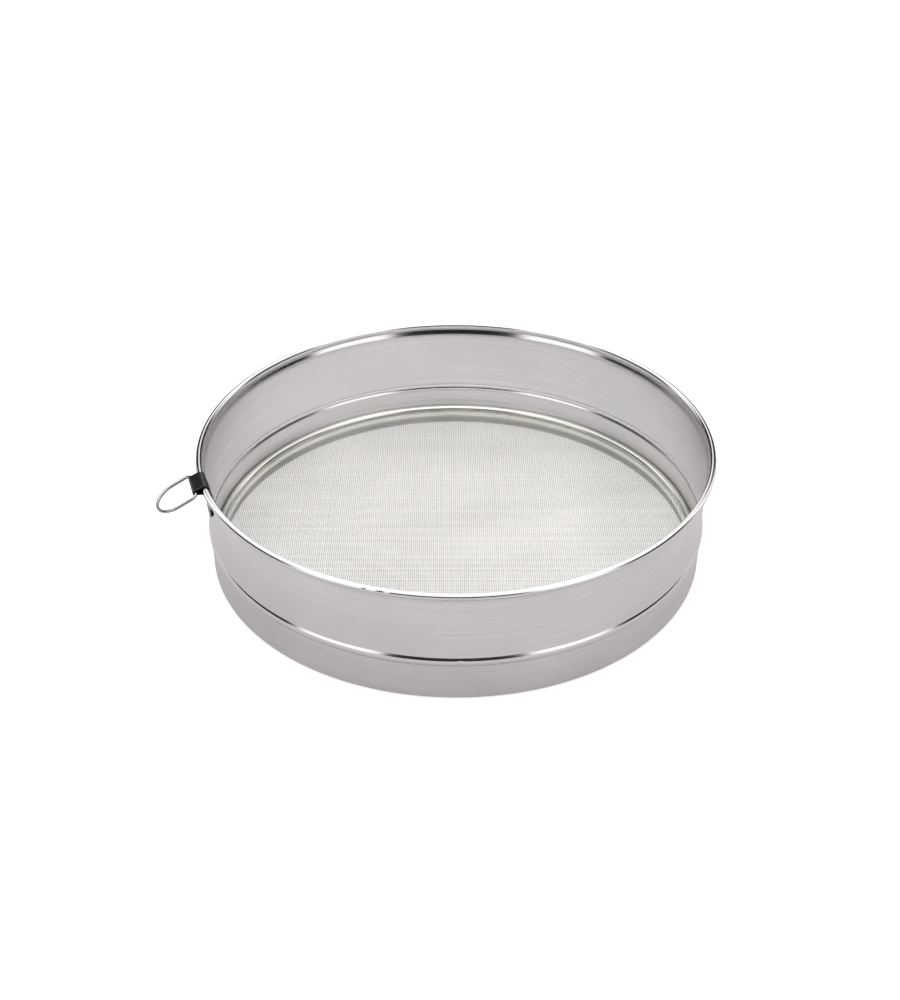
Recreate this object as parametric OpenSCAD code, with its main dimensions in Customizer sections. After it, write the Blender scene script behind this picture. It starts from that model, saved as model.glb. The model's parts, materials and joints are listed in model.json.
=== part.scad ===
// Drum sieve with a wired rim, a clamped wire cloth and a hanging loop.
// The drum's axis is Z, it stands on the plane z = 0, and the hanger is on the -X side.

/* [Drum] */
// Diameter across the rolled rim
rim_d = 300; // [260:1:360]
// Height from the base to the top of the roll
drum_h = 72; // [62:1:90]
// Thickness of the hoop's sheet
sheet_t = 0.6; // [0.5:0.1:0.7]
// Diameter of the rolled rim over the sheet
roll_d = 3.7; // [3.4:0.1:4.2]
// How far the roll stands out from the wall
rim_overhang = 4.6; // [4.4:0.1:5]
// Height of the flare below the middle of the roll
flare_h = 7; // [6:0.5:9]

/* [Bead] */
// Height of the bead's middle above the base
bead_z = 25.5; // [22:0.5:34]
// Height of the bead with its fillets
bead_h = 6.4; // [5:0.2:8]
// How far the bead stands out from the wall
bead_out = 1.1; // [0.6:0.1:1.3]

/* [Base] */
// Outer radius of the edge where the wall turns in
base_r = 3; // [2.5:0.1:3.5]
// Width of the turned-in flange with its rounded edge
flange_w = 5; // [4.5:0.1:6]

/* [Cloth and rings] */
// Height of the cloth's underside above the base
cloth_z = 9.2; // [8.4:0.1:12]
// Thickness of the woven cloth
cloth_t = 0.4; // [0.3:0.1:0.6]
// Radial width of the clamp ring and of the support ring
ring_w = 5.1; // [4.6:0.1:6]
// Depth of the support ring's inner leg
support_leg = 3.6; // [3:0.1:4.5]

/* [Hanger] */
// Width of the strap
strap_w = 15.6; // [14:0.1:16]
// Thickness of the strap
strap_t = 0.8; // [0.6:0.1:0.9]
// Height of the outer leaf's tip below the top of the roll
outer_leaf = 23.7; // [20:0.1:28]
// Height of the inner leaf's tip below the top of the roll
inner_leaf = 19; // [17:0.1:22]
// How far the loop's bar lies outside the roll
pivot_out = 3.1; // [3:0.05:3.6]
// How far the loop's bar lies below the middle of the roll
pivot_drop = 0.75; // [0.6:0.05:0.9]

/* [Hanging loop] */
// Diameter of the loop's wire
wire_d = 1.8; // [1.6:0.1:1.9]
// Width of the loop over the wire
loop_w = 24.4; // [24:0.1:28]
// Length of the loop from the bar's middle to its far side
loop_l = 24.1; // [24:0.1:34]
// Angle of the loop below level
loop_tilt = 25.5; // [0:0.5:60]

/* [Hidden] */
$fn = 144;

// Steps of the bends in a sheet's section
bend_step = 10;
// Clearance round pieces that lie together
lay_gap = 0.05;

// The wall and the roll
wall_r = rim_d / 2 - rim_overhang;
wall_mid = wall_r - sheet_t / 2;
wall_in = wall_r - sheet_t;
roll_r = roll_d / 2;
roll_c = [rim_d / 2 - roll_r, drum_h - roll_r];
roll_mid = roll_r - sheet_t / 2;
// The curl of the rim stops short of the wall
curl_end = -120;

// The flare is two equal arcs that lead from the wall out to the inner side of the roll
flare_out = roll_c[0] - roll_mid - wall_mid;
flare_a = 2 * atan(flare_out / flare_h);
flare_r = flare_h / (2 * sin(flare_a));
flare_low_c = [wall_mid + flare_r, roll_c[1] - flare_h];
flare_top_c = [wall_mid + flare_out - flare_r, roll_c[1]];

// The bead is a crest between two fillets, the crest twice the fillets' radius
bead_a = 2 * atan(2 * bead_out / bead_h);
bead_sum = bead_h / (2 * sin(bead_a));
bead_fillet = bead_sum / 3;
bead_crest = bead_sum - bead_fillet;
bead_crest_c = [wall_mid + bead_out - bead_crest, bead_z];

// The turned-in base edge
base_mid = base_r - sheet_t / 2;
base_c = [wall_mid - base_mid, base_r];

// The rings and the cloth between them
ring_out = wall_in - 0.1;
cloth_r = wall_in - 0.6;
cloth_top = cloth_z + cloth_t;
support_t = 0.6;
support_bend = 1;
support_foot = 2.5;

// The strap is flat across its width, so on the inner side it stands off the round wall
// by as much as the rim curves over half its width
curve_gap = lay_gap + rim_d / 2 - sqrt(pow(rim_d / 2, 2) - pow(strap_w / 2, 2));
lay_in = sheet_t / 2 + curve_gap + strap_t / 2;
lay_out = sheet_t / 2 + lay_gap + strap_t / 2;
pivot = [rim_d / 2 + pivot_out, roll_c[1] - pivot_drop];
// The round tips of the leaves
tip_r = strap_w / 2 + 0.4;
wire_r = wire_d / 2;
bar_clearance = 0.05;
knuckle_bore = wire_r + bar_clearance;
// The bore is cut out of a fold that is a little too tight
fold_undersize = 0.02;
knuckle_mid = knuckle_bore - fold_undersize + strap_t / 2;
wrap_mid = roll_r + curve_gap + strap_t / 2;
neck = pivot - roll_c;
// Direction from the roll's middle to where the strap's top sheet leaves the roll
leave_a = atan2(neck[1], neck[0]) + acos((wrap_mid - knuckle_mid) / norm(neck));
// Where the outer leaf leaves the flare and bends out under the roll
under_a = 20;
under_flare_r = flare_r + lay_out;
under_z = roll_c[1] - wrap_mid;
under_p = flare_top_c + under_flare_r * [cos(under_a), -sin(under_a)];
under_bend = (under_z - under_p[1]) / (1 - sin(under_a));
under_c = under_p + under_bend * [cos(under_a), -sin(under_a)];

// The loop's centre line
loop_half = loop_w / 2 - wire_r;
near_bend = 3.2;
far_bend = loop_half;
arm_l = loop_l - wire_r - far_bend;

// Points of an arc after its first one, which ends what comes before it
function arc(c, r, from, to) =
    let (n = max(2, ceil(abs(to - from) / bend_step)))
    [for (i = [1:n]) c + r * [cos(from + (to - from) * i / n), sin(from + (to - from) * i / n)]];

// Outline of a sheet of thickness t along a path
function unit(v) = v / norm(v);
function right_of(p, i) = let (d = unit(p[i + 1] - p[i])) [d[1], -d[0]];
function miter(p, i) =
    let (a = right_of(p, max(i - 1, 0)), b = right_of(p, min(i, len(p) - 2)))
    (a + b) / (1 + a * b);
function side(p, d) = [for (i = [0:len(p) - 1]) p[i] + d * miter(p, i)];
function backwards(p) = [for (i = [len(p) - 1:-1:0]) p[i]];
function sheet_outline(p, t) = concat(side(p, t / 2), backwards(side(p, -t / 2)));

// Middle of the hoop's sheet, as radius and height, from the flange's lip up to the end of the curl
base_path = concat(
    [[wall_r - flange_w, sheet_t / 2], [base_c[0], sheet_t / 2]],
    arc(base_c, base_mid, -90, 0)
);
bead_path = concat(
    [[wall_mid, bead_z - bead_h / 2]],
    arc([wall_mid + bead_fillet, bead_z - bead_h / 2], bead_fillet, 180, 180 - bead_a),
    arc(bead_crest_c, bead_crest, -bead_a, bead_a),
    arc([wall_mid + bead_fillet, bead_z + bead_h / 2], bead_fillet, 180 + bead_a, 180)
);
flare_path = concat(
    [[wall_mid, flare_low_c[1]]],
    arc(flare_low_c, flare_r, 180, 180 - flare_a),
    arc(flare_top_c, flare_r, -flare_a, 0)
);
hoop_path = concat(base_path, bead_path, flare_path, arc(roll_c, roll_mid, 180, curl_end));

// Middle of the strap's sheet: up from the inner leaf's tip, over the roll, round the bar,
// back under the roll and down to the outer leaf's tip
strap_path = concat(
    side(concat([[wall_mid, drum_h - inner_leaf]], flare_path), -lay_in),
    arc(roll_c, wrap_mid, 180, leave_a),
    [pivot + knuckle_mid * [cos(leave_a), sin(leave_a)]],
    arc(pivot, knuckle_mid, leave_a, -90),
    [under_c + [0, under_bend]],
    arc(under_c, under_bend, 90, 180 - under_a),
    arc(flare_top_c, under_flare_r, -under_a, -flare_a),
    arc(flare_low_c, flare_r - lay_out, 180 - flare_a, 180),
    [[wall_mid + lay_out, drum_h - outer_leaf]]
);

// Middle of the support ring's sheet: a leg on the wall, a web under the cloth and a short inner leg
web_z = cloth_z - support_t / 2;
leg_out = ring_out - support_t / 2;
leg_in = ring_out - ring_w + support_t / 2;
support_path = concat(
    [[leg_out, support_foot], [leg_out, web_z - support_bend]],
    arc([leg_out - support_bend, web_z - support_bend], support_bend, 0, 90),
    [[leg_in + support_bend, web_z]],
    arc([leg_in + support_bend, web_z - support_bend], support_bend, 90, 180),
    [[leg_in, cloth_z - support_leg]]
);

module drum_hoop() {
    color("gainsboro")
    rotate_extrude()
    polygon(sheet_outline(hoop_path, sheet_t));
}

module rim_wire() {
    color("silver")
    rotate_extrude()
    translate(roll_c)
    circle(r = roll_r - sheet_t - lay_gap, $fn = 32);
}

// Half-round ring that lies on the cloth
module clamp_ring() {
    color("whitesmoke")
    rotate_extrude()
    translate([ring_out - ring_w / 2, cloth_top])
    intersection() {
        circle(r = ring_w / 2, $fn = 48);
        translate([-ring_w, 0])
        square([2 * ring_w, ring_w]);
    }
}

// The cloth is too fine to show its weave, so it is a flat disc as thick as the cloth
module wire_cloth() {
    color("lightgrey")
    translate([0, 0, cloth_z])
    cylinder(r = cloth_r, h = cloth_t);
}

module support_ring() {
    color("silver")
    rotate_extrude()
    polygon(sheet_outline(support_path, support_t));
}

// Outline of both leaves seen along X: straight sides and a round tip at each leaf's height
module leaf_outline(tip_z) {
    translate([0, tip_z + tip_r]) {
        circle(r = tip_r);
        translate([-strap_w, 0])
        square([2 * strap_w, drum_h]);
    }
}

// The room that a leaf's outline leaves, between two distances from the drum's axis
module leaf_room(from_r, to_r, tip_z) {
    translate([-to_r, 0, 0])
    rotate([90, 0, 90])
    linear_extrude(to_r - from_r)
    leaf_outline(tip_z);
}

// A section given as radius and height, drawn out over the strap's width on the -X side
module across_strap() {
    rotate([90, 0, 180])
    linear_extrude(strap_w, center = true)
    children();
}

module hanger_strap() {
    color("dimgray")
    difference() {
        intersection() {
            across_strap()
            polygon(sheet_outline(strap_path, strap_t));
            union() {
                leaf_room(wall_mid - rim_overhang, wall_mid, drum_h - inner_leaf);
                leaf_room(wall_mid, pivot[0] + rim_overhang, drum_h - outer_leaf);
            }
        }
        translate([-pivot[0], 0, pivot[1]])
        rotate([90, 0, 0])
        cylinder(r = knuckle_bore, h = strap_w + 2, center = true);
    }
}

// Straight stretch of the loop's wire from a point, along X turned by an angle
module wire_run(from, angle, length) {
    translate([from[0], from[1], 0])
    rotate([0, 0, angle])
    rotate([0, 90, 0])
    cylinder(r = wire_r, h = length, $fn = 32);
}

// Bend of the loop's wire round a point
module wire_bend(c, r, from, sweep) {
    translate([c[0], c[1], 0])
    rotate([0, 0, from])
    rotate_extrude(angle = sweep)
    translate([r, 0])
    circle(r = wire_r, $fn = 32);
}

// The loop lies flat here, with its bar on the Y axis and its far end towards -X
module flat_loop() {
    wire_run([0, -(loop_half - near_bend)], 90, 2 * (loop_half - near_bend));
    for (s = [-1, 1]) {
        wire_bend([-near_bend, s * (loop_half - near_bend)], near_bend, s > 0 ? 0 : -90, 90);
        wire_run([-near_bend, s * loop_half], 180, arm_l - near_bend);
    }
    wire_bend([-arm_l, 0], far_bend, 90, 180);
}

module hanging_loop() {
    color("lightsteelblue")
    translate([-pivot[0], 0, pivot[1]])
    rotate([0, -loop_tilt, 0])
    flat_loop();
}

drum_hoop();
rim_wire();
clamp_ring();
wire_cloth();
support_ring();
hanger_strap();
hanging_loop();
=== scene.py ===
"""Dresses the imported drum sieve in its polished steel, woven cloth and hanger, and sets its stage.

The drum's axis is Z and the hanger is on the -X side, as in the CAD. All lengths are metres.
"""

import json
import math
from types import SimpleNamespace

import bpy
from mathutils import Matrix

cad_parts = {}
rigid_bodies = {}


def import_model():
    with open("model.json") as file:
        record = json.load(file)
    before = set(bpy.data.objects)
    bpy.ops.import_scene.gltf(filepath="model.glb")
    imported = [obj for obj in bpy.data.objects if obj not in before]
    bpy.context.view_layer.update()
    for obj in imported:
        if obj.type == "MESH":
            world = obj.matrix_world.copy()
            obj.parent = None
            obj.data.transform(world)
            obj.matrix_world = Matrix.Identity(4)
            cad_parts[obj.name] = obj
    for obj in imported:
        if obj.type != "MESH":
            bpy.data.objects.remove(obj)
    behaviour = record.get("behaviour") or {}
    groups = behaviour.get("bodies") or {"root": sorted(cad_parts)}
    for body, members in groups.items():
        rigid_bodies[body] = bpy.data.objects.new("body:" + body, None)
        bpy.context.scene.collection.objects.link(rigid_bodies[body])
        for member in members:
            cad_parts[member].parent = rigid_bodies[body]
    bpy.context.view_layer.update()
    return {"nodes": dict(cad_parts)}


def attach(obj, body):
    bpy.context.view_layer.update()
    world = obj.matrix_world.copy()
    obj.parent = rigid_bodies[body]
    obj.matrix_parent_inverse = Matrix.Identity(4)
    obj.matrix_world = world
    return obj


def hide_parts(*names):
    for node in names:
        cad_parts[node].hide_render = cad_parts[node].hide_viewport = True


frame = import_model()

bl_info = {
    "name": "Drum Sieve",
    "version": (1, 0, 0),
    "blender": (4, 5, 0),
    "location": "3D View > Sidebar > Sieve",
    "description": "Builds the looks of a drum sieve round its CAD frame",
    "category": "Object",
}

SIEVE_BODY = "sieve"
LOOP_BODY = "loop"
# Clearance between sheets that lie together
LAY_GAP = 0.00005
# Play between the wall and the rings that are pressed into it
RING_PLAY = 0.0001
# Sheet, bend radius and foot's height of the support ring
SUPPORT_T = 0.0006
SUPPORT_BEND = 0.001
SUPPORT_FOOT = 0.0025
# How far short of the wall the cloth's wires end, and how far they rise and dip in the weave
CLOTH_PLAY = 0.0009
WIRE_LIFT = 0.00011

# Azimuth in degrees and relative depth of each dimple at the roll's seam
DIMPLES = ((228.6, 1.0), (231.4, 0.7), (234.9, 1.2), (238.2, 0.8))
# Angle of the dimples above the roll's level middle, and their reach
DIMPLE_LEAN = 25
DIMPLE_REACH = 0.0019
# Azimuth and reach of the blemish on the bead
BLEMISH_AZIMUTH = 253.2
BLEMISH_REACH = 0.0016
# Share of a dent's depth that goes down instead of in, and where a dent is taken to end
DENT_DROP = 0.3
DENT_LIMIT = 6.0
# Stretches with finer steps for these marks: start, end and step in degrees
FINE_STRETCHES = ((227.0, 240.0, 0.5), (251.5, 255.0, 0.35))

# Where the strap's outer leaf leaves the flare, in degrees
UNDER_ANGLE = 20
# How much the radius of a leaf's tip is over half of the strap's width
TIP_MARGIN = 0.0004
# Sections of a leaf's tip, as shares of its radius
TIP_SECTIONS = (0.004, 0.03, 0.08, 0.16, 0.27, 0.4, 0.55, 0.72, 0.9)
# Width of the strap's broken edges
BROKEN_EDGE = 0.00018
# Points round the loop's wire
WIRE_SIDES = 24

# Dark zones to either side of the camera's direction: start, end and soft edge in degrees
DARK_ZONES = ((-20, 30, 4), (68, 112, 5), (135, 170, 5))
# Their foot, head and soft edge above level in degrees
DARK_HEIGHT = (-8, 34, 4)
# The light overhead
SOFTBOX_SIZE = 1.2
SOFTBOX_WATTS = 4.0
SOFTBOX_PLACE = (0.1, 0.2, 1.6)
# Half the floor's width, its height, and the radii between which its painted glow in reflections
# fades
FLOOR_HALF = 4.0
FLOOR_Z = -0.0002
PAINTED_GLOW_FADE = (0.135, 0.14)

# Scale of the patches in which a metal is duller or darker, and the height of its grain
PATCH_SCALE = 22.0
GRAIN_DEPTH = 0.0002
# How steel() makes each finish: tint, darker tint, roughness and its spread, scale of the grain,
# relief and, for the drum, how much duller it is inside
FINISHES = {
    # Near mirror bright with fine lines round the drum, so the walls blur what they reflect
    "Polished stainless sheet": ("E2E0E1", "D6D4D6", 0.15, 0.03, (6.0, 6.0, 700.0), 0.04, 0.22),
    # A harder shine than the wall's, which draws the ring as thin bright and dark lines
    "Bright drawn half-round": ("D8D7D2", "C6C6C0", 0.17, 0.03, (30.0, 30.0, 400.0), 0.04),
    # Paler and duller than the sheet, so the cloth reads as one soft grey field
    "Woven stainless wire": ("D8D6D3", "C6C4C1", 0.45, 0.05, (4.0, 30.0, 4.0), 0.0),
    # Strip tinted almost black, so that it stays dark beside the drum, with fine drawing lines
    "Dark stainless strip": ("4C4C4C", "333333", 0.28, 0.06, (40.0, 900.0, 40.0), 0.12),
    # Smooth wire, a little greyer than the drum, that shows a white line between two dark ones
    "Bright loop wire": ("B4B4B2", "98989A", 0.16, 0.03, (50.0, 50.0, 50.0), 0.03),
    # Plain drawn wire, seen only where the roll's edge stops short of the wall
    "Drawn rim wire": ("B4B3B0", "A09F9C", 0.32, 0.05, (40.0, 40.0, 40.0), 0.05),
}


def length(name, description, default):
    """A property in metres."""
    return bpy.props.FloatProperty(
        name=name,
        description=description,
        default=default,
        min=0.0,
        max=1.0,
        precision=5,
        unit="LENGTH",
        subtype="DISTANCE",
    )


def angle(name, description, degrees):
    """A property that is shown in degrees and kept in radians."""
    return bpy.props.FloatProperty(
        name=name,
        description=description,
        default=math.radians(degrees),
        unit="ROTATION",
        subtype="ANGLE",
    )


def factor(name, description, default, highest=1.0):
    """A property without a unit."""
    return bpy.props.FloatProperty(
        name=name,
        description=description,
        default=default,
        min=0.0,
        max=highest,
        subtype="FACTOR" if highest == 1.0 else "NONE",
    )


class SieveDrumSettings(bpy.types.PropertyGroup):
    """Sizes of the hoop, as in the CAD."""

    rim_d: length("Rim diameter", "Diameter across the rolled rim", 0.300)
    drum_h: length("Height", "Height from the base to the top of the roll", 0.072)
    sheet_t: length("Sheet", "Thickness of the hoop's sheet", 0.0006)
    roll_d: length("Roll diameter", "Diameter of the roll over the sheet", 0.0037)
    overhang: length("Overhang", "How far the roll stands out from the wall", 0.0046)
    flare_h: length("Flare height", "Height of the flare below the roll's middle", 0.007)
    bead_z: length("Bead height", "Height of the bead's middle above the base", 0.0255)
    bead_h: length("Bead width", "Height of the bead with its fillets", 0.0064)
    bead_out: length("Bead depth", "How far the bead stands out", 0.0011)
    base_r: length("Base edge", "Outer radius of the turned-in edge", 0.003)
    flange_w: length("Flange", "Width of the turned-in flange", 0.005)
    dimple: length("Dimple depth", "Depth of the dimples at the seam in the roll", 0.00022)
    segments: bpy.props.IntProperty(
        name="Segments", description="Steps round the drum", default=300, min=60, max=360
    )


class SieveClothSettings(bpy.types.PropertyGroup):
    """The woven cloth and the two rings that hold it."""

    cloth_z: length("Cloth height", "Height of the cloth's underside", 0.0092)
    cloth_t: length("Cloth thickness", "Thickness of the woven cloth", 0.0004)
    ring_w: length("Ring width", "Radial width of both rings", 0.0051)
    support_leg: length("Support leg", "Depth of the support ring's inner leg", 0.0036)
    pitch: length("Pitch", "Distance between wires, coarser than a real cloth's", 0.0012)
    wire_d: length("Wire diameter", "Width of one wire of the cloth", 0.00046)
    uneven: length("Unevenness", "How far a wire strays from its place", 0.00009)
    turn: angle("Turn", "Direction of the wires", -17.6)
    seed: bpy.props.IntProperty(
        name="Seed", description="Seed of the wires' unevenness", default=7, min=0
    )


class SieveHangerSettings(bpy.types.PropertyGroup):
    """The strap and the loop that hangs in it."""

    strap_w: length("Strap width", "Width of the strap", 0.0156)
    strap_t: length("Strap thickness", "Thickness of the strap", 0.0008)
    outer_leaf: length("Outer leaf", "Depth of the outer leaf's tip below the rim", 0.0237)
    inner_leaf: length("Inner leaf", "Depth of the inner leaf's tip below the rim", 0.019)
    pivot_out: length("Bar outside rim", "How far the bar lies outside the roll", 0.0031)
    pivot_drop: length("Bar drop", "How far the bar lies below the roll's middle", 0.00075)
    wire_d: length("Loop wire", "Diameter of the loop's wire", 0.0018)
    loop_w: length("Loop width", "Width of the loop over the wire", 0.0244)
    loop_l: length("Loop length", "From the bar's middle to the far side", 0.0241)
    near_bend: length("Near bends", "Radius of the bends beside the bar", 0.0032)
    tilt: angle("Tilt", "Angle of the loop below level", 25.5)


class SieveStageSettings(bpy.types.PropertyGroup):
    """Camera, floor and surroundings."""

    lens: bpy.props.FloatProperty(
        name="Lens", description="Focal length for a 36 mm sensor", default=51.305, min=10.0
    )
    camera: bpy.props.FloatVectorProperty(
        name="Camera",
        description="Where the camera stands",
        default=(-0.2175, -0.6743, 0.5033),
        unit="LENGTH",
        subtype="XYZ",
    )
    pitch: angle("Camera pitch", "Angle of the camera above straight down", 56.19)
    yaw: angle("Camera yaw", "Turn of the camera about Z", -17.6)
    surround: factor("Surround", "Brightness of the white walls round the object", 1.45, 4.0)
    dark: factor("Dark zones", "Brightness of the dark zones in front and at the sides", 0.02)
    lift: factor("Floor lift", "Light that the floor adds towards the camera", 0.66)
    # Painted glow: light the floor gives off only in reflections, with more under the cloth
    painted_glow: factor("Floor gleam", "Light that the floor adds in reflections", 0.07)
    painted_glow_inside: factor("Gleam inside", "The same for the floor under the cloth", 1.1, 4.0)


def linear(code):
    """Linear colour of an sRGB hex code."""
    values = [int(code[i : i + 2], 16) / 255 for i in (0, 2, 4)]
    return [v / 12.92 if v <= 0.04045 else ((v + 0.055) / 1.055) ** 2.4 for v in values] + [1.0]


def add_node(tree, kind, values=None, **settings):
    """Adds a node, sets its properties, and sets or links its inputs by index or name."""
    node = tree.nodes.new(kind)
    for key, value in settings.items():
        setattr(node, key, value)
    for key, value in (values or {}).items():
        if isinstance(value, bpy.types.NodeSocket):
            tree.links.new(value, node.inputs[key])
        else:
            node.inputs[key].default_value = value
    return node


def maths(tree, operation, a, b=0.0):
    """Output of a math node."""
    return add_node(tree, "ShaderNodeMath", {0: a, 1: b}, operation=operation).outputs[0]


def steel(name, tint, dark_tint, rough, spread, grain, relief, duller_inside=0.0):
    """Metal whose tint and roughness wander a little, with a grain of the given scale.

    Within the radius of the drum's wall it is duller by duller_inside.
    """
    material = bpy.data.materials.new(name)
    material.use_nodes = True
    tree = material.node_tree
    tree.nodes.clear()
    place = add_node(tree, "ShaderNodeTexCoord").outputs["Object"]
    stretched = add_node(tree, "ShaderNodeMapping", {"Vector": place, "Scale": grain}).outputs[0]
    lines = add_node(
        tree, "ShaderNodeTexNoise", {"Vector": stretched, "Scale": 1.0, "Detail": 4.0}
    ).outputs[0]
    patches = add_node(
        tree, "ShaderNodeTexNoise", {"Vector": place, "Scale": PATCH_SCALE, "Detail": 3.0}
    ).outputs[0]
    reach = add_node(
        tree,
        "ShaderNodeMapRange",
        {"Value": maths(tree, "MULTIPLY", lines, patches), "From Min": 0.12, "From Max": 0.4},
    ).outputs[0]
    colour = add_node(
        tree,
        "ShaderNodeMix",
        {0: reach, 6: linear(dark_tint), 7: linear(tint)},
        data_type="RGBA",
    ).outputs[2]
    dull = add_node(
        tree,
        "ShaderNodeMapRange",
        {
            "Value": patches,
            "From Min": 0.3,
            "From Max": 0.7,
            "To Min": rough - spread,
            "To Max": rough + spread,
        },
    ).outputs[0]
    if duller_inside:
        flat = add_node(
            tree, "ShaderNodeVectorMath", {0: place, 1: (1.0, 1.0, 0.0)}, operation="MULTIPLY"
        ).outputs[0]
        radius = add_node(
            tree, "ShaderNodeVectorMath", {0: flat}, operation="LENGTH"
        ).outputs["Value"]
        wall_mid = drum_shape(bpy.context.scene.sieve_drum).wall_mid
        inside = maths(tree, "LESS_THAN", radius, wall_mid)
        dull = maths(tree, "ADD", dull, maths(tree, "MULTIPLY", inside, duller_inside))
    normal = add_node(
        tree, "ShaderNodeBump", {"Height": lines, "Strength": relief, "Distance": GRAIN_DEPTH}
    ).outputs[0]
    shader = add_node(
        tree,
        "ShaderNodeBsdfPrincipled",
        {"Base Color": colour, "Roughness": dull, "Normal": normal, "Metallic": 1.0},
    )
    add_node(tree, "ShaderNodeOutputMaterial", {"Surface": shader.outputs[0]})
    return material


def finish_of(name):
    """The material of that name, made on first use."""
    return bpy.data.materials.get(name) or steel(name, *FINISHES[name])


def arc(centre, radius, start, end, step=8.0):
    """Points of an arc after its first one."""
    count = max(2, math.ceil(abs(end - start) / step))
    turns = [math.radians(start + (end - start) * i / count) for i in range(1, count + 1)]
    return [(centre[0] + radius * math.cos(t), centre[1] + radius * math.sin(t)) for t in turns]


def right_of(path, i):
    """Unit vector to the right of the stretch that starts at point i."""
    dx, dy = path[i + 1][0] - path[i][0], path[i + 1][1] - path[i][1]
    size = math.hypot(dx, dy)
    return dy / size, -dx / size


def side(path, distance):
    """The path moved sideways, to the right for a positive distance."""
    moved = []
    for i, point in enumerate(path):
        a = right_of(path, max(i - 1, 0))
        b = right_of(path, min(i, len(path) - 2))
        scale = distance / (1 + a[0] * b[0] + a[1] * b[1])
        moved.append((point[0] + scale * (a[0] + b[0]), point[1] + scale * (a[1] + b[1])))
    return moved


def sheet_outline(path, thickness):
    """Closed outline of a sheet whose middle follows the path."""
    return side(path, thickness / 2) + side(path, -thickness / 2)[::-1]


def drum_shape(drum):
    """The hoop's measures that the other pieces are placed by, and its section."""
    d = SimpleNamespace()
    d.wall_r = drum.rim_d / 2 - drum.overhang
    d.wall_mid = d.wall_r - drum.sheet_t / 2
    d.wall_in = d.wall_r - drum.sheet_t
    d.roll_r = drum.roll_d / 2
    d.roll_c = (drum.rim_d / 2 - d.roll_r, drum.drum_h - d.roll_r)
    roll_mid = d.roll_r - drum.sheet_t / 2
    flare_out = d.roll_c[0] - roll_mid - d.wall_mid
    d.flare_a = math.degrees(2 * math.atan(flare_out / drum.flare_h))
    d.flare_r = drum.flare_h / (2 * math.sin(math.radians(d.flare_a)))
    d.flare_low_c = (d.wall_mid + d.flare_r, d.roll_c[1] - drum.flare_h)
    d.flare_top_c = (d.wall_mid + flare_out - d.flare_r, d.roll_c[1])
    bead_a = math.degrees(2 * math.atan(2 * drum.bead_out / drum.bead_h))
    bead_sum = drum.bead_h / (2 * math.sin(math.radians(bead_a)))
    fillet = bead_sum / 3
    crest = bead_sum - fillet
    low, high = drum.bead_z - drum.bead_h / 2, drum.bead_z + drum.bead_h / 2
    base_mid = drum.base_r - drum.sheet_t / 2
    base_c = (d.wall_mid - base_mid, drum.base_r)
    d.flare_path = (
        [(d.wall_mid, d.flare_low_c[1])]
        + arc(d.flare_low_c, d.flare_r, 180, 180 - d.flare_a)
        + arc(d.flare_top_c, d.flare_r, -d.flare_a, 0)
    )
    d.path = (
        [(d.wall_r - drum.flange_w, drum.sheet_t / 2), (base_c[0], drum.sheet_t / 2)]
        + arc(base_c, base_mid, -90, 0)
        + [(d.wall_mid, low)]
        + arc((d.wall_mid + fillet, low), fillet, 180, 180 - bead_a)
        + arc((d.wall_mid + drum.bead_out - crest, drum.bead_z), crest, -bead_a, bead_a)
        + arc((d.wall_mid + fillet, high), fillet, 180 + bead_a, 180)
        + d.flare_path
        + arc(d.roll_c, roll_mid, 180, -120, 10)
    )
    return d


def outward(verts, faces):
    """The faces, all turned over if the closed mesh is inside out."""
    volume = 0.0
    for face in faces:
        a = verts[face[0]]
        for j in range(1, len(face) - 1):
            b, c = verts[face[j]], verts[face[j + 1]]
            volume += (
                a[0] * (b[1] * c[2] - b[2] * c[1])
                - a[1] * (b[0] * c[2] - b[2] * c[0])
                + a[2] * (b[0] * c[1] - b[1] * c[0])
            )
    return faces if volume > 0 else [face[::-1] for face in faces]


def make_piece(name, verts, faces, finish, sharp=35.0):
    """A smooth-shaded object from a closed mesh, with its edges kept sharp above an angle."""
    mesh = bpy.data.meshes.new(name)
    mesh.from_pydata(verts, [], outward(verts, faces))
    mesh.polygons.foreach_set("use_smooth", [True] * len(mesh.polygons))
    mesh.set_sharp_from_angle(angle=math.radians(sharp))
    mesh.materials.append(finish_of(finish))
    mesh.validate()
    piece = bpy.data.objects.new(name, mesh)
    bpy.context.scene.collection.objects.link(piece)
    return piece


def loft(rings, closed):
    """Vertices and faces through rings of equal length, closed round or capped at both ends."""
    size = len(rings[0])
    verts = [point for ring in rings for point in ring]
    faces = []
    for i in range(len(rings) if closed else len(rings) - 1):
        a, b = i * size, (i + 1) % len(rings) * size
        for j in range(size):
            k = (j + 1) % size
            faces.append((a + j, a + k, b + k, b + j))
    if not closed:
        last = (len(rings) - 1) * size
        faces.append(tuple(range(size))[::-1])
        faces.append(tuple(range(last, last + size)))
    return verts, faces


def revolve(outline, azimuths):
    """A section given as radius and height, turned about the drum's axis."""
    turns = [math.radians(a) for a in azimuths]
    return loft([[(r * math.cos(t), r * math.sin(t), z) for r, z in outline] for t in turns], True)


def dress(piece, body, slot_name, *nodes):
    """Ties a finished piece to its body and hides the CAD nodes that it stands for. The slot name is
    not used.
    """
    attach(piece, body)
    if nodes:
        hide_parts(*nodes)


def press_dent(verts, azimuth, r, z, reach, depth):
    """Presses the vertices near a point of the drum inwards and a little down."""
    turn = math.radians(azimuth)
    x, y = r * math.cos(turn), r * math.sin(turn)
    for i, (vx, vy, vz) in enumerate(verts):
        away = ((vx - x) ** 2 + (vy - y) ** 2 + (vz - z) ** 2) / reach**2
        if away < DENT_LIMIT:
            pull = depth * math.exp(-away)
            verts[i] = (
                vx - pull * math.cos(turn),
                vy - pull * math.sin(turn),
                vz - pull * DENT_DROP,
            )


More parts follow.
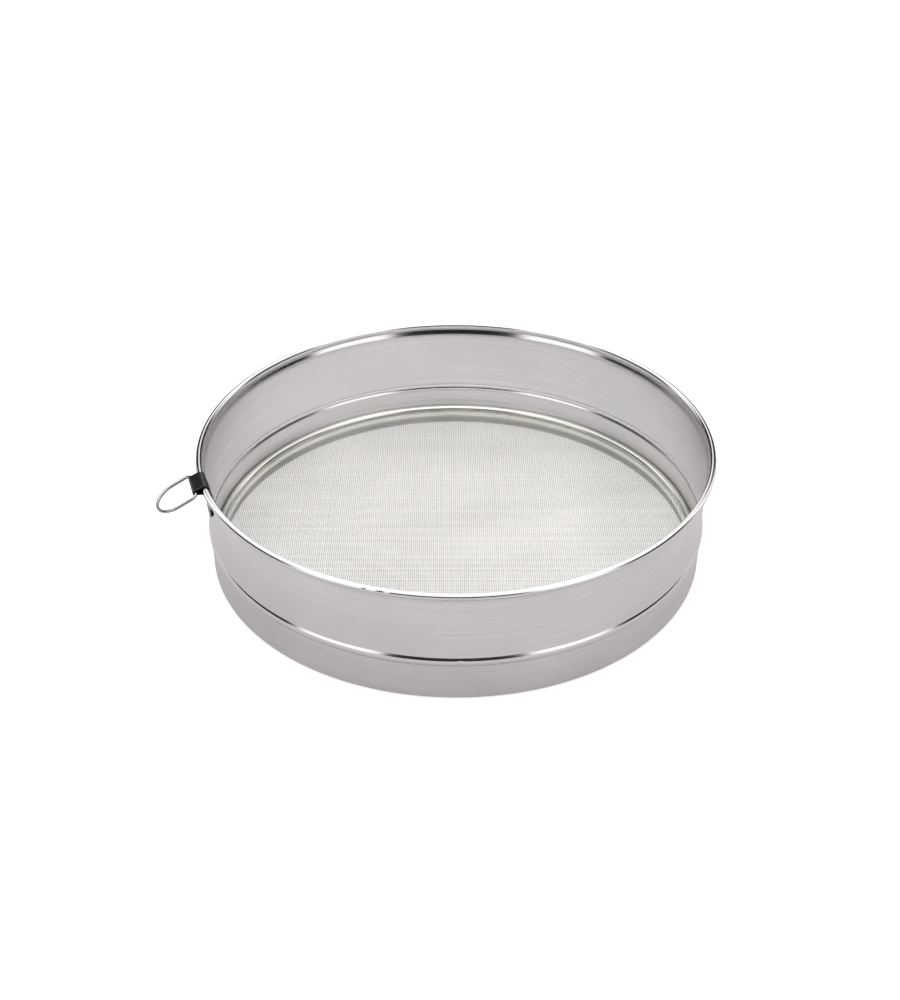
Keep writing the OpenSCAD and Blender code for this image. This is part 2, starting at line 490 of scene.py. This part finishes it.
class SIEVE_OT_drum(bpy.types.Operator):
    """Builds the hoop with its flange, bead, flare and roll, and the marks of its seam"""

    bl_idname = "sieve.drum"
    bl_label = "Build Drum Hoop"

    def execute(self, context):
        drum = context.scene.sieve_drum
        shape = drum_shape(drum)
        azimuths = [i * 360.0 / drum.segments for i in range(drum.segments)]
        for start, end, step in FINE_STRETCHES:
            azimuths = [a for a in azimuths if not start <= a <= end]
            azimuths += [start + step * i for i in range(int((end - start) / step) + 1)]
        verts, faces = revolve(sheet_outline(shape.path, drum.sheet_t), sorted(azimuths))
        lean = math.radians(DIMPLE_LEAN)
        r = shape.roll_c[0] + shape.roll_r * math.cos(lean)
        z = shape.roll_c[1] + shape.roll_r * math.sin(lean)
        for azimuth, size in DIMPLES:
            press_dent(verts, azimuth, r, z, DIMPLE_REACH, drum.dimple * size)
        crest = shape.wall_r + drum.bead_out
        press_dent(verts, BLEMISH_AZIMUTH, crest, drum.bead_z, BLEMISH_REACH, drum.dimple)
        piece = make_piece("hoop", verts, faces, "Polished stainless sheet", 60.0)
        dress(piece, SIEVE_BODY, "polished_steel", "drum_hoop")
        return {"FINISHED"}


class SIEVE_OT_rings(bpy.types.Operator):
    """Builds the half-round clamp ring and the pressed support ring"""

    bl_idname = "sieve.rings"
    bl_label = "Build Rings"

    def execute(self, context):
        drum, cloth = context.scene.sieve_drum, context.scene.sieve_cloth
        shape = drum_shape(drum)
        azimuths = [i * 360.0 / drum.segments for i in range(drum.segments)]
        ring_out = shape.wall_in - RING_PLAY
        half = cloth.ring_w / 2
        middle = (ring_out - half, cloth.cloth_z + cloth.cloth_t)
        outline = [(middle[0] + half, middle[1])] + arc(middle, half, 0, 180, 9)
        verts, faces = revolve(outline, azimuths)
        clamp = make_piece("clamp_half_round", verts, faces, "Bright drawn half-round")
        dress(clamp, SIEVE_BODY, "ring_steel", "clamp_ring")
        web = cloth.cloth_z - SUPPORT_T / 2
        leg_out = ring_out - SUPPORT_T / 2
        leg_in = ring_out - cloth.ring_w + SUPPORT_T / 2
        bend_z = web - SUPPORT_BEND
        path = (
            [(leg_out, SUPPORT_FOOT), (leg_out, bend_z)]
            + arc((leg_out - SUPPORT_BEND, bend_z), SUPPORT_BEND, 0, 90, 15)
            + [(leg_in + SUPPORT_BEND, web)]
            + arc((leg_in + SUPPORT_BEND, bend_z), SUPPORT_BEND, 90, 180, 15)
            + [(leg_in, cloth.cloth_z - cloth.support_leg)]
        )
        verts, faces = revolve(sheet_outline(path, SUPPORT_T), azimuths)
        support = make_piece("support_channel", verts, faces, "Bright drawn half-round")
        dress(support, SIEVE_BODY, "ring_steel", "support_ring")
        return {"FINISHED"}


def cloth_tree():
    """Geometry nodes for a band of parallel woven wires, cut off at a circle.

    Each wire is a row of points one pitch apart, which alternate up and down by the parity of row
    and column, so that two bands at right angles with opposite lift weave through each other.
    """
    tree = bpy.data.node_groups.new("Woven Wires", "GeometryNodeTree")
    ports = {}
    for name, kind, value in (
        ("Radius", "NodeSocketFloat", 0.144),
        ("Pitch", "NodeSocketFloat", 0.0012),
        ("First Row", "NodeSocketInt", 0),
        ("Rows", "NodeSocketInt", 100),
        ("Columns Each Side", "NodeSocketInt", 120),
        ("Wire Diameter", "NodeSocketFloat", 0.0004),
        ("Lift", "NodeSocketFloat", 0.0001),
        ("Flatness", "NodeSocketFloat", 0.6),
        ("Unevenness", "NodeSocketFloat", 0.0001),
        ("Turn", "NodeSocketFloat", 0.0),
        ("Height", "NodeSocketFloat", 0.0094),
        ("Seed", "NodeSocketInt", 0),
        ("Material", "NodeSocketMaterial", None),
    ):
        socket = tree.interface.new_socket(name, in_out="INPUT", socket_type=kind)
        if value is not None:
            socket.default_value = value
        ports[name] = socket.identifier
    tree.interface.new_socket("Geometry", in_out="OUTPUT", socket_type="NodeSocketGeometry")
    given = add_node(tree, "NodeGroupInput").outputs

    def vector(x=0.0, y=0.0, z=0.0):
        return add_node(tree, "ShaderNodeCombineXYZ", {0: x, 1: y, 2: z}).outputs[0]

    pitch = given["Pitch"]
    each_side = given["Columns Each Side"]
    columns = maths(tree, "ADD", maths(tree, "MULTIPLY", each_side, 2.0), 1.0)
    first_x = maths(tree, "MULTIPLY", maths(tree, "MULTIPLY", each_side, pitch), -1.0)
    first_y = maths(tree, "MULTIPLY", given["First Row"], pitch)
    wire = add_node(
        tree,
        "GeometryNodeMeshLine",
        {"Count": columns, "Start Location": vector(first_x), "Offset": vector(pitch)},
        mode="OFFSET",
    ).outputs[0]
    rows = add_node(
        tree,
        "GeometryNodeMeshLine",
        {
            "Count": given["Rows"],
            "Start Location": vector(0.0, first_y),
            "Offset": vector(0.0, pitch),
        },
        mode="OFFSET",
    ).outputs[0]
    laid = add_node(tree, "GeometryNodeInstanceOnPoints", {"Points": rows, "Instance": wire})
    grid = add_node(tree, "GeometryNodeRealizeInstances", {0: laid.outputs[0]}).outputs[0]
    spot = add_node(
        tree, "ShaderNodeSeparateXYZ", {0: add_node(tree, "GeometryNodeInputPosition").outputs[0]}
    ).outputs
    row = maths(tree, "ROUND", maths(tree, "DIVIDE", spot[1], pitch))
    column = maths(tree, "ROUND", maths(tree, "DIVIDE", spot[0], pitch))
    reach = add_node(
        tree, "ShaderNodeVectorMath", {0: vector(spot[0], spot[1])}, operation="LENGTH"
    ).outputs["Value"]
    beyond = add_node(
        tree, "FunctionNodeCompare", {0: reach, 1: given["Radius"]}, operation="GREATER_THAN"
    ).outputs[0]
    disc = add_node(
        tree, "GeometryNodeDeleteGeometry", {"Geometry": grid, "Selection": beyond}
    ).outputs[0]
    odd = maths(tree, "MODULO", maths(tree, "ABSOLUTE", maths(tree, "ADD", row, column)), 2.0)
    upward = maths(tree, "SUBTRACT", 1.0, maths(tree, "MULTIPLY", odd, 2.0))
    stray = add_node(
        tree,
        "FunctionNodeRandomValue",
        {"Min": -1.0, "Max": 1.0, "ID": row, "Seed": given["Seed"]},
        data_type="FLOAT",
    )
    shift = maths(tree, "MULTIPLY", stray.outputs["Value"], given["Unevenness"])
    rise = maths(tree, "MULTIPLY", upward, given["Lift"])
    woven = add_node(
        tree,
        "GeometryNodeSetPosition",
        {"Geometry": disc, "Offset": vector(0.0, shift, rise)},
    ).outputs[0]
    line = add_node(tree, "GeometryNodeMeshToCurve", {"Mesh": woven}).outputs[0]
    ring = add_node(
        tree,
        "GeometryNodeCurvePrimitiveCircle",
        {"Resolution": 3, "Radius": maths(tree, "MULTIPLY", given["Wire Diameter"], 0.5)},
    ).outputs[0]
    tube = add_node(
        tree, "GeometryNodeCurveToMesh", {"Curve": line, "Profile Curve": ring, "Fill Caps": True}
    ).outputs[0]
    set_down = add_node(
        tree,
        "GeometryNodeTransform",
        {
            "Geometry": tube,
            "Translation": vector(0.0, 0.0, given["Height"]),
            "Rotation": vector(0.0, 0.0, given["Turn"]),
            "Scale": vector(1.0, 1.0, given["Flatness"]),
        },
    ).outputs[0]
    whole = add_node(tree, "GeometryNodeRealizeInstances", {0: set_down}).outputs[0]
    painted = add_node(
        tree, "GeometryNodeSetMaterial", {"Geometry": whole, "Material": given["Material"]}
    ).outputs[0]
    add_node(tree, "NodeGroupOutput", {0: painted})
    return tree, ports


class SIEVE_OT_cloth(bpy.types.Operator):
    """Weaves the cloth as four bands of wires, two in each direction

    The pitch is drawn coarser than a real fine cloth's, because finer wires would not show
    """

    bl_idname = "sieve.cloth"
    bl_label = "Weave Cloth"

    def execute(self, context):
        cloth = context.scene.sieve_cloth
        shape = drum_shape(context.scene.sieve_drum)
        radius = shape.wall_in - CLOTH_PLAY
        each_side = math.ceil(radius / cloth.pitch)
        tree, ports = cloth_tree()
        # Name, first row, number of rows, turn in degrees and the sign of the lift. The turn puts
        # warp_left on the +X side and warp_right on the -X side, as seen from behind the drum
        bands = (
            ("weft_front", -each_side, each_side, 0.0, 1.0),
            ("weft_back", 0, each_side + 1, 0.0, 1.0),
            ("warp_left", -each_side, each_side, 90.0, -1.0),
            ("warp_right", 0, each_side + 1, 90.0, -1.0),
        )
        for name, first, count, turn, sign in bands:
            piece = bpy.data.objects.new(name, bpy.data.meshes.new(name))
            context.scene.collection.objects.link(piece)
            weave = piece.modifiers.new("Weave", "NODES")
            weave.node_group = tree
            for label, value in (
                ("Radius", radius),
                ("Pitch", cloth.pitch),
                ("First Row", first),
                ("Rows", count),
                ("Columns Each Side", each_side),
                ("Wire Diameter", cloth.wire_d),
                ("Lift", sign * WIRE_LIFT),
                ("Unevenness", cloth.uneven),
                ("Turn", cloth.turn + math.radians(turn)),
                ("Height", cloth.cloth_z + cloth.cloth_t / 2),
                ("Seed", cloth.seed + int(turn)),
                ("Material", finish_of("Woven stainless wire")),
            ):
                weave[ports[label]] = value
            depsgraph = context.evaluated_depsgraph_get()
            mesh = bpy.data.meshes.new_from_object(piece.evaluated_get(depsgraph))
            if not mesh.polygons:
                raise RuntimeError(f"the weave made nothing for {name}")
            piece.modifiers.remove(weave)
            piece.data = mesh
            mesh.name = name
            mesh.polygons.foreach_set("use_smooth", [True] * len(mesh.polygons))
            dress(piece, SIEVE_BODY, "woven_cloth", "wire_cloth")
        return {"FINISHED"}


def pivot_of(drum, hanger, shape):
    """The bar's middle as radius and height."""
    return drum.rim_d / 2 + hanger.pivot_out, shape.roll_c[1] - hanger.pivot_drop


def strap_path(drum, hanger, shape):
    """Middle of the strap's sheet, from the inner leaf's tip to the outer leaf's tip."""
    thick = hanger.strap_t
    rim_r = drum.rim_d / 2
    # The strap is flat across, so inside it stands off the round wall by the rim's curve
    curve = LAY_GAP + rim_r - math.sqrt(rim_r**2 - (hanger.strap_w / 2) ** 2)
    lay_in = drum.sheet_t / 2 + curve + thick / 2
    lay_out = drum.sheet_t / 2 + LAY_GAP + thick / 2
    wrap = shape.roll_r + curve + thick / 2
    pivot = pivot_of(drum, hanger, shape)
    knuckle = hanger.wire_d / 2 + LAY_GAP + thick / 2
    neck = (pivot[0] - shape.roll_c[0], pivot[1] - shape.roll_c[1])
    lean = math.atan2(neck[1], neck[0]) + math.acos((wrap - knuckle) / math.hypot(*neck))
    leave = math.degrees(lean)
    under = math.radians(UNDER_ANGLE)
    under_r = shape.flare_r + lay_out
    start_r = shape.flare_top_c[0] + under_r * math.cos(under)
    start_z = shape.flare_top_c[1] - under_r * math.sin(under)
    bend = (shape.roll_c[1] - wrap - start_z) / (1 - math.sin(under))
    bend_c = (start_r + bend * math.cos(under), start_z - bend * math.sin(under))
    steps = [(hanger.strap_w / 2 + TIP_MARGIN) * share for share in TIP_SECTIONS]
    inner = [(shape.wall_mid, drum.drum_h - hanger.inner_leaf + step) for step in steps]
    outer = [(shape.wall_mid + lay_out, drum.drum_h - hanger.outer_leaf + step) for step in steps]
    return (
        side(inner + shape.flare_path, -lay_in)
        + arc(shape.roll_c, wrap, 180, leave, 10)
        + [(pivot[0] + knuckle * math.cos(lean), pivot[1] + knuckle * math.sin(lean))]
        + arc(pivot, knuckle, leave, -90, 12)
        + [(bend_c[0], bend_c[1] + bend)]
        + arc(bend_c, bend, 90, 180 - UNDER_ANGLE, 10)
        + arc(shape.flare_top_c, under_r, -UNDER_ANGLE, -shape.flare_a)
        + arc(shape.flare_low_c, shape.flare_r - lay_out, 180 - shape.flare_a, 180)
        + outer[::-1]
    )


class SIEVE_OT_strap(bpy.types.Operator):
    """Folds the strap round the rim and the loop's bar, with rounded leaves and broken edges"""

    bl_idname = "sieve.strap"
    bl_label = "Build Strap"

    def execute(self, context):
        drum, hanger = context.scene.sieve_drum, context.scene.sieve_hanger
        path = strap_path(drum, hanger, drum_shape(drum))
        tip_r = hanger.strap_w / 2 + TIP_MARGIN
        tip_size = len(TIP_SECTIONS)
        upper, lower = side(path, hanger.strap_t / 2), side(path, -hanger.strap_t / 2)
        rings = []
        for i, (a, b) in enumerate(zip(upper, lower)):
            # How far the section lies above its leaf's tip, up to the tip's radius
            above_tip = tip_r
            if i < tip_size:
                above_tip = path[i][1] - drum.drum_h + hanger.inner_leaf
            elif i >= len(path) - tip_size:
                above_tip = path[i][1] - drum.drum_h + hanger.outer_leaf
            above_tip = min(above_tip, tip_r)
            half = min(hanger.strap_w / 2, math.sqrt(tip_r**2 - (tip_r - above_tip) ** 2))
            edge = min(BROKEN_EDGE, half / 2)
            share = edge / hanger.strap_t
            near = (a[0] + (b[0] - a[0]) * share, a[1] + (b[1] - a[1]) * share)
            far = (b[0] + (a[0] - b[0]) * share, b[1] + (a[1] - b[1]) * share)
            ring = [(a, half - edge), (near, half), (far, half), (b, half - edge)]
            ring += [(p, -y) for p, y in reversed(ring)]
            rings.append([(-p[0], y, p[1]) for p, y in ring])
        verts, faces = loft(rings, False)
        piece = make_piece("strap_fold", verts, faces, "Dark stainless strip", 30.0)
        dress(piece, SIEVE_BODY, "strap_steel", "hanger_strap")
        return {"FINISHED"}


class SIEVE_OT_loop(bpy.types.Operator):
    """Bends the hanging loop from round wire"""

    bl_idname = "sieve.loop"
    bl_label = "Build Loop"

    def execute(self, context):
        drum, hanger = context.scene.sieve_drum, context.scene.sieve_hanger
        shape = drum_shape(drum)
        pivot = pivot_of(drum, hanger, shape)
        wire = hanger.wire_d / 2
        half = hanger.loop_w / 2 - wire
        near = hanger.near_bend
        arm = hanger.loop_l - wire - half
        path = (
            [(0.0, half - near)]
            + arc((-near, half - near), near, 0, 90, 10)
            + [(-arm, half)]
            + arc((-arm, 0.0), half, 90, 270, 6)
            + [(-near, -half)]
            + arc((-near, near - half), near, 270, 360, 10)
            + [(0.0, 0.0)]
        )
        cos_t, sin_t = math.cos(hanger.tilt), math.sin(hanger.tilt)
        rings = []
        for i, (x, y) in enumerate(path):
            before, after = path[i - 1], path[(i + 1) % len(path)]
            dx, dy = after[0] - before[0], after[1] - before[1]
            size = math.hypot(dx, dy)
            nx, ny = dy / size, -dx / size
            ring = []
            for j in range(WIRE_SIDES):
                t = math.tau * j / WIRE_SIDES
                px = x + wire * math.cos(t) * nx
                py = y + wire * math.cos(t) * ny
                pz = wire * math.sin(t)
                # Turned down about the bar, then set on the pivot
                out, up = px * cos_t - pz * sin_t, px * sin_t + pz * cos_t
                ring.append((out - pivot[0], py, up + pivot[1]))
            rings.append(ring)
        verts, faces = loft(rings, True)
        piece = make_piece("loop_of_wire", verts, faces, "Bright loop wire", 60.0)
        dress(piece, LOOP_BODY, "loop_wire", "hanging_loop")
        return {"FINISHED"}


class SIEVE_OT_wire_finish(bpy.types.Operator):
    """Gives the CAD's rim wire, which stays as it is, its finish"""

    bl_idname = "sieve.wire_finish"
    bl_label = "Finish Rim Wire"

    def execute(self, context):
        wire = frame["nodes"]["rim_wire"]
        for part in [wire, *wire.children_recursive]:
            for place in part.material_slots:
                place.material = finish_of("Drawn rim wire")
        return {"FINISHED"}


def between(tree, value, low, high, soft):
    """One inside two angles in degrees and nothing outside them, with soft edges."""
    edges = [
        add_node(
            tree,
            "ShaderNodeMapRange",
            {
                "Value": value,
                "From Min": math.radians(edge - soft),
                "From Max": math.radians(edge + soft),
                "To Min": before,
                "To Max": 1.0 - before,
            },
            interpolation_type="SMOOTHSTEP",
        ).outputs[0]
        for edge, before in ((low, 0.0), (high, 1.0))
    ]
    return maths(tree, "MULTIPLY", *edges)


class SIEVE_OT_stage(bpy.types.Operator):
    """Sets the floor, the white surroundings with their dark zones, the light and the camera"""

    bl_idname = "sieve.stage"
    bl_label = "Set Stage"

    def execute(self, context):
        stage = context.scene.sieve_stage
        self.set_world(context, stage)
        self.lay_floor(context, stage)
        camera = bpy.data.cameras.new("Camera")
        camera.lens = stage.lens
        camera.sensor_width = 36.0
        camera.sensor_fit = "AUTO"
        camera.clip_start = 0.01
        holder = bpy.data.objects.new("Camera", camera)
        holder.location = stage.camera
        holder.rotation_euler = (stage.pitch, 0.0, stage.yaw)
        context.scene.collection.objects.link(holder)
        context.scene.camera = holder
        light = bpy.data.lights.new("Top softbox", "AREA")
        light.size = SOFTBOX_SIZE
        light.energy = SOFTBOX_WATTS
        box = bpy.data.objects.new("Top softbox", light)
        box.location = SOFTBOX_PLACE
        context.scene.collection.objects.link(box)
        context.scene.view_settings.view_transform = "Standard"
        return {"FINISHED"}

    def set_world(self, context, stage):
        """White all round, but dark low down in front, at both sides and behind, as in a room

        The dark zones draw the black lines on the roll and the bead. Straight rays to the camera
        see plain white, so the picture's background has no edge.
        """
        world = bpy.data.worlds.new("White room")
        world.use_nodes = True
        tree = world.node_tree
        tree.nodes.clear()
        ray = add_node(tree, "ShaderNodeTexCoord").outputs["Generated"]
        facing = math.atan2(stage.camera[1], stage.camera[0])
        turned = add_node(
            tree,
            "ShaderNodeVectorRotate",
            {"Vector": ray, "Angle": -facing},
            rotation_type="Z_AXIS",
        ).outputs[0]
        part = add_node(tree, "ShaderNodeSeparateXYZ", {0: turned}).outputs
        turn = maths(tree, "ABSOLUTE", maths(tree, "ARCTAN2", part[1], part[0]))
        rise = maths(tree, "ARCSINE", part[2])
        zones = 0.0
        for zone in DARK_ZONES:
            zones = maths(tree, "MAXIMUM", zones, between(tree, turn, *zone))
        dark = maths(tree, "MULTIPLY", zones, between(tree, rise, *DARK_HEIGHT))
        level = add_node(
            tree,
            "ShaderNodeMapRange",
            {"Value": dark, "To Min": stage.surround, "To Max": stage.dark},
        ).outputs[0]
        path = add_node(tree, "ShaderNodeLightPath").outputs
        strength = add_node(
            tree, "ShaderNodeMix", {0: path["Is Camera Ray"], 2: level, 3: 1.0}, data_type="FLOAT"
        ).outputs[0]
        glow = add_node(
            tree, "ShaderNodeBackground", {"Color": (1.0, 1.0, 1.0, 1.0), "Strength": strength}
        ).outputs[0]
        add_node(tree, "ShaderNodeOutputWorld", {"Surface": glow})
        context.scene.world = world

    def lay_floor(self, context, stage):
        """Plain pale floor that is lifted to white for the camera but keeps the shadow, with a
        painted glow that only reflections see
        """
        floor_paint = bpy.data.materials.new("Pale matt floor")
        floor_paint.use_nodes = True
        tree = floor_paint.node_tree
        tree.nodes.clear()
        matt = add_node(tree, "ShaderNodeBsdfDiffuse", {"Color": linear("C6C4C2")}).outputs[0]
        path = add_node(tree, "ShaderNodeLightPath").outputs
        seen = maths(tree, "MULTIPLY", path["Is Camera Ray"], stage.lift)
        # Painted glow: in reflections the floor gives off light, much more under the cloth than a
        # plain floor would, because the drum's inner wall is brighter in the photograph than its
        # surroundings make it here
        place = add_node(tree, "ShaderNodeTexCoord").outputs["Object"]
        radius = add_node(tree, "ShaderNodeVectorMath", {0: place}, operation="LENGTH")
        under = add_node(
            tree,
            "ShaderNodeMapRange",
            {
                "Value": radius.outputs["Value"],
                "From Min": PAINTED_GLOW_FADE[0],
                "From Max": PAINTED_GLOW_FADE[1],
                "To Min": stage.painted_glow_inside,
                "To Max": stage.painted_glow,
            },
        ).outputs[0]
        # Painted glow, seen only by glossy rays
        painted_glow_in_reflections = maths(tree, "MULTIPLY", path["Is Glossy Ray"], under)
        lift = maths(tree, "ADD", seen, painted_glow_in_reflections)
        glow = add_node(tree, "ShaderNodeEmission", {"Strength": lift}).outputs[0]
        both = add_node(tree, "ShaderNodeAddShader", {0: matt, 1: glow}).outputs[0]
        add_node(tree, "ShaderNodeOutputMaterial", {"Surface": both})
        mesh = bpy.data.meshes.new("Floor")
        signs = ((-1, -1), (1, -1), (1, 1), (-1, 1))
        corners = [(FLOOR_HALF * x, FLOOR_HALF * y, FLOOR_Z) for x, y in signs]
        mesh.from_pydata(corners, [], [(0, 1, 2, 3)])
        mesh.materials.append(floor_paint)
        floor = bpy.data.objects.new("Floor", mesh)
        context.scene.collection.objects.link(floor)


class SIEVE_PT_panel(bpy.types.Panel):
    """The sieve's settings and the operators that build it"""

    bl_idname = "SIEVE_PT_panel"
    bl_label = "Drum Sieve"
    bl_space_type = "VIEW_3D"
    bl_region_type = "UI"
    bl_category = "Sieve"

    def draw(self, context):
        for title, owner, builders in GROUPS:
            box = self.layout.box()
            box.label(text=title)
            settings = getattr(context.scene, owner)
            for key in settings.__annotations__:
                box.prop(settings, key)
            for builder in builders:
                box.operator(builder.bl_idname)


GROUPS = (
    ("Drum", "sieve_drum", (SIEVE_OT_drum, SIEVE_OT_wire_finish)),
    ("Cloth and rings", "sieve_cloth", (SIEVE_OT_rings, SIEVE_OT_cloth)),
    ("Hanger", "sieve_hanger", (SIEVE_OT_strap, SIEVE_OT_loop)),
    ("Stage", "sieve_stage", (SIEVE_OT_stage,)),
)
SETTINGS = {
    "sieve_drum": SieveDrumSettings,
    "sieve_cloth": SieveClothSettings,
    "sieve_hanger": SieveHangerSettings,
    "sieve_stage": SieveStageSettings,
}
CLASSES = (
    *SETTINGS.values(),
    SIEVE_OT_drum,
    SIEVE_OT_rings,
    SIEVE_OT_cloth,
    SIEVE_OT_strap,
    SIEVE_OT_loop,
    SIEVE_OT_wire_finish,
    SIEVE_OT_stage,
    SIEVE_PT_panel,
)


def register():
    """Registers the classes and hangs the settings on the scene."""
    for kind in CLASSES:
        bpy.utils.register_class(kind)
    for name, kind in SETTINGS.items():
        setattr(bpy.types.Scene, name, bpy.props.PointerProperty(type=kind))


def unregister():
    """Takes the settings off the scene and unregisters the classes."""
    for name in SETTINGS:
        delattr(bpy.types.Scene, name)
    for kind in reversed(CLASSES):
        bpy.utils.unregister_class(kind)


def main():
    """Builds every piece and the stage."""
    register()
    bpy.ops.sieve.drum()
    bpy.ops.sieve.rings()
    bpy.ops.sieve.cloth()
    bpy.ops.sieve.strap()
    bpy.ops.sieve.loop()
    bpy.ops.sieve.wire_finish()
    bpy.ops.sieve.stage()


if __name__ == "__main__":
    main()
